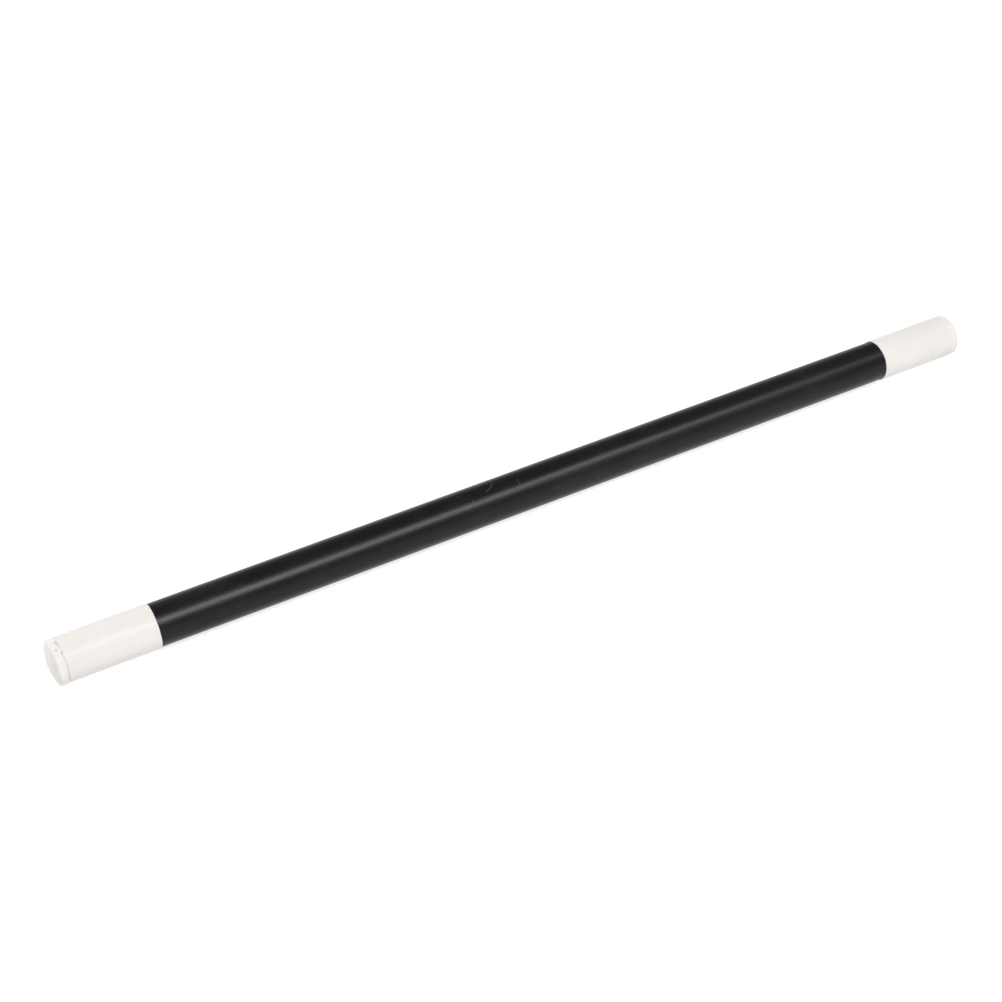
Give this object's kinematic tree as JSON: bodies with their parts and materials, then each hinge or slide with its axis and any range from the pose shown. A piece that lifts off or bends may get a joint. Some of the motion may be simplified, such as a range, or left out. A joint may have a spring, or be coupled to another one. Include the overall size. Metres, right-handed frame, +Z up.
{
  "type": "magic wand",
  "caption": "Stage magician's wand: a straight black tube with white sleeved tips, closed by white push-in end plugs with shallow domed faces.",
  "frame": {"origin": "middle of the wand, on its axis", "axes": "+X along the wand towards the far tip, +Z up, with the wand lying down"},
  "size_m": [0.3048, 0.013, 0.013],
  "materials": {
    "black_plastic": "satin",
    "white_sleeve_plastic": "satin",
    "white_plug_plastic": "satin"
  },
  "bodies": {
    "wand": {"shaft_tube": "black_plastic", "near_tip_sleeve": "white_sleeve_plastic", "far_tip_sleeve": "white_sleeve_plastic"},
    "near_plug": {"near_end_plug": "white_plug_plastic"},
    "far_plug": {"far_end_plug": "white_plug_plastic"}
  },
  "joints": [
    {"name": "near_plug_pull", "type": "slide", "parent": "wand", "child": "near_plug", "axis": [-1, 0, 0], "range_m": [0, 0.015]},
    {"name": "far_plug_pull", "type": "slide", "parent": "wand", "child": "far_plug", "axis": [1, 0, 0], "range_m": [0, 0.015]}
  ]
}
